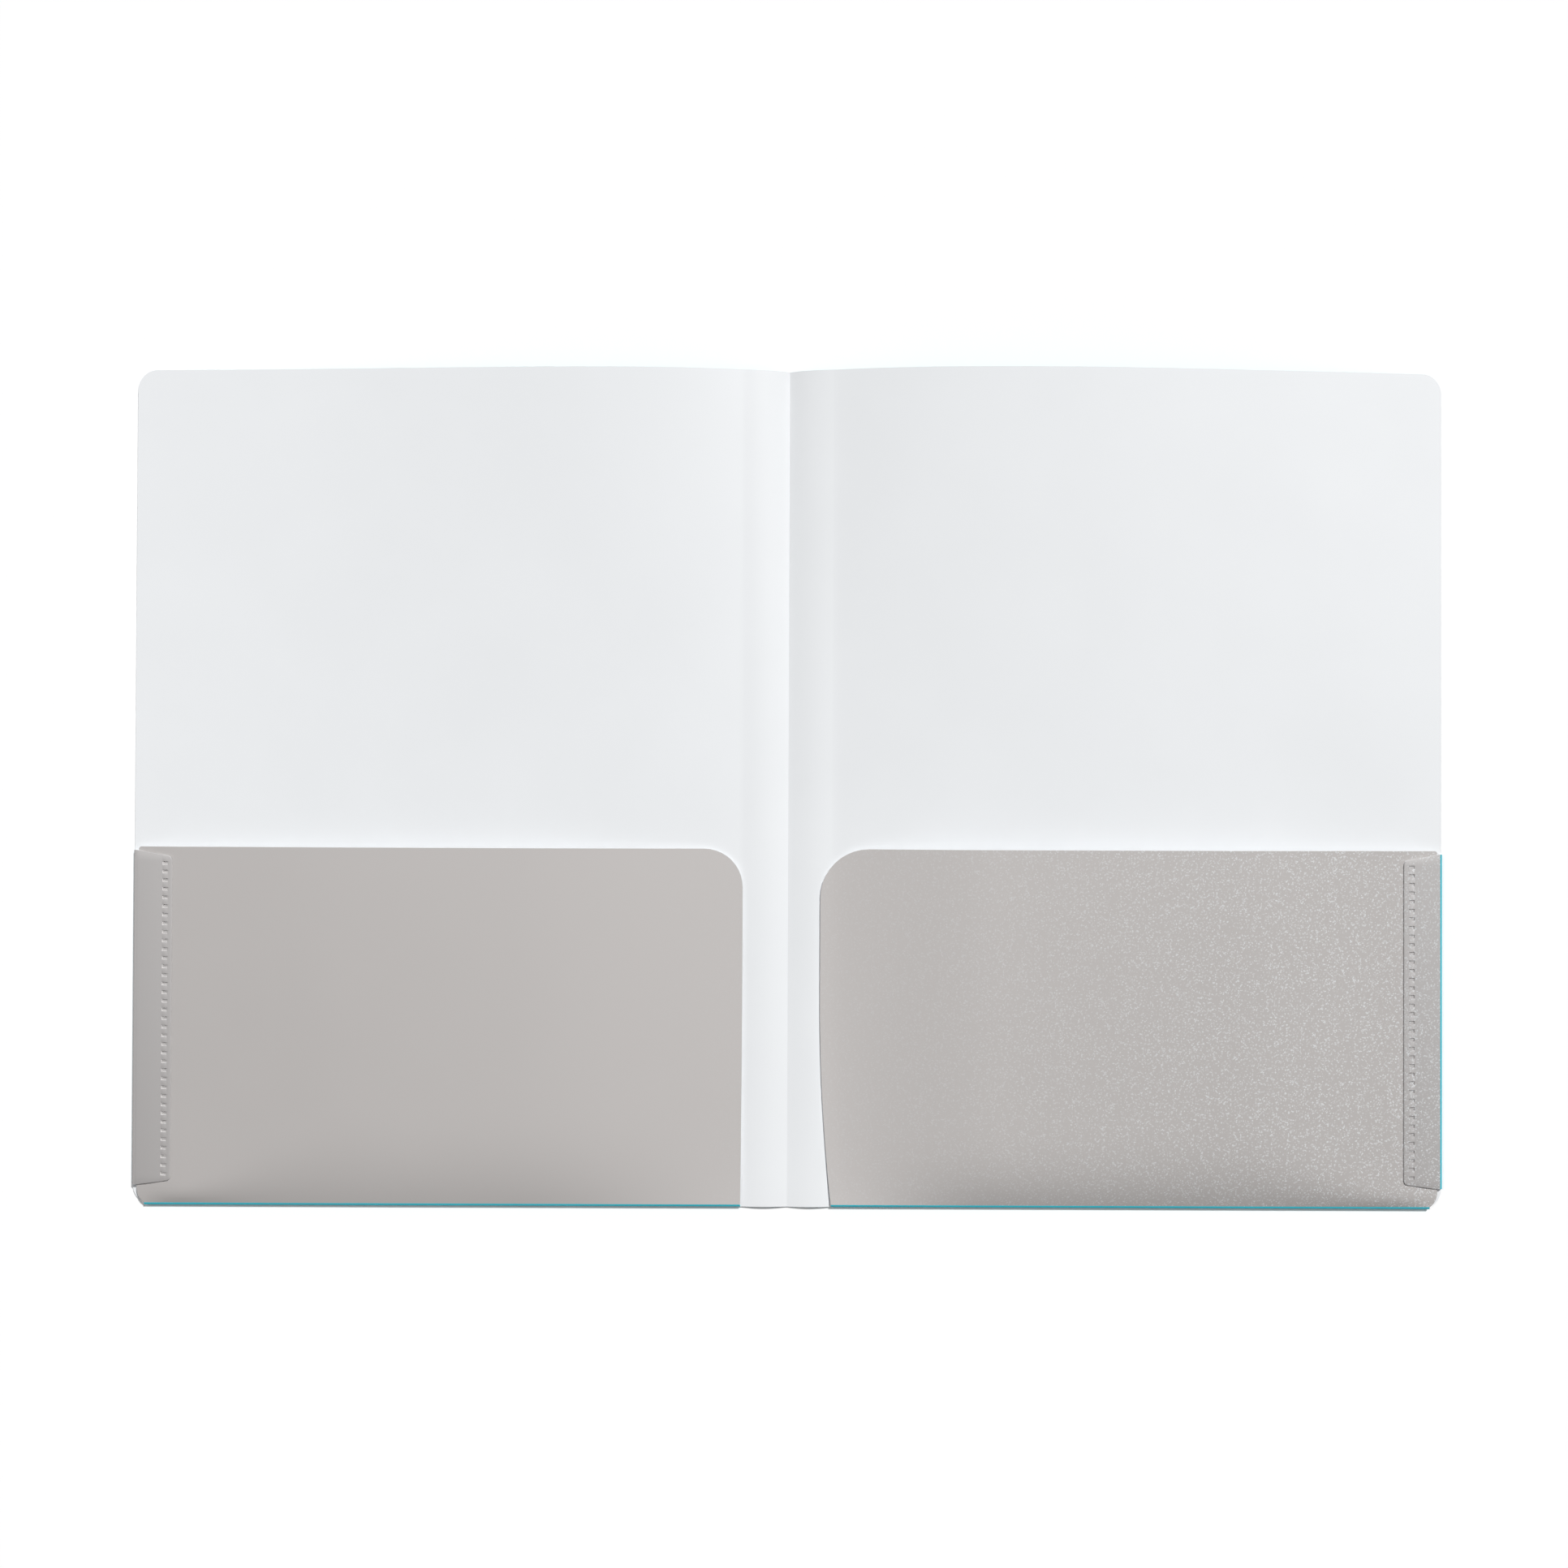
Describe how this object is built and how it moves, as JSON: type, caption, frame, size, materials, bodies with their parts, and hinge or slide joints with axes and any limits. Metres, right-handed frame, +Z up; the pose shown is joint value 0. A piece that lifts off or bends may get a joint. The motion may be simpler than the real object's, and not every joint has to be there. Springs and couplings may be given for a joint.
{
  "type": "two pocket folder",
  "caption": "Document folder of bendable plastic sheet, lying open: covers joined at a folding spine, each with a pocket folded up from the bottom edge and welded under a side tab.",
  "frame": {"origin": "on the surface that the open folder lies on, under the middle of the spine", "axes": "+X across the covers to the right, +Y up the page from the pockets to the top edge, +Z up"},
  "size_m": [0.4572, 0.2922, 0.0023],
  "materials": {
    "inner_white": "white polypropylene sheet with a fine matt grain",
    "outer_aqua": "aqua outer skin of the sheet, satin with a fine grain",
    "pocket_grey": "warm light grey skin of the pockets and tabs, satin with a fine pearly grain"
  },
  "bodies": {
    "right_side": {"right_cover": "inner_white", "right_cover_film": "outer_aqua", "right_bottom_fold": "outer_aqua", "right_side_fold": "outer_aqua", "right_pocket": "pocket_grey", "right_tab": "pocket_grey", "right_weld_spots": "pocket_grey"},
    "spine": {"spine_strip": "inner_white", "spine_film": "outer_aqua"},
    "left_side": {"left_cover": "inner_white", "left_cover_film": "outer_aqua", "left_bottom_fold": "outer_aqua", "left_side_fold": "outer_aqua", "left_pocket": "pocket_grey", "left_tab": "pocket_grey", "left_weld_spots": "pocket_grey"}
  },
  "joints": [
    {"name": "right_spine_fold", "type": "hinge", "parent": "right_side", "child": "spine", "pos_m": [0.00195, 0, 0.0005], "axis": [0, 1, 0], "range_deg": [0, 90]},
    {"name": "left_spine_fold", "type": "hinge", "parent": "spine", "child": "left_side", "pos_m": [-0.00195, 0, 0.0005], "axis": [0, 1, 0], "range_deg": [0, 90]}
  ],
  "couplings": [
    {"joint": "right_spine_fold", "follows": "left_spine_fold", "ratio": 1}
  ]
}
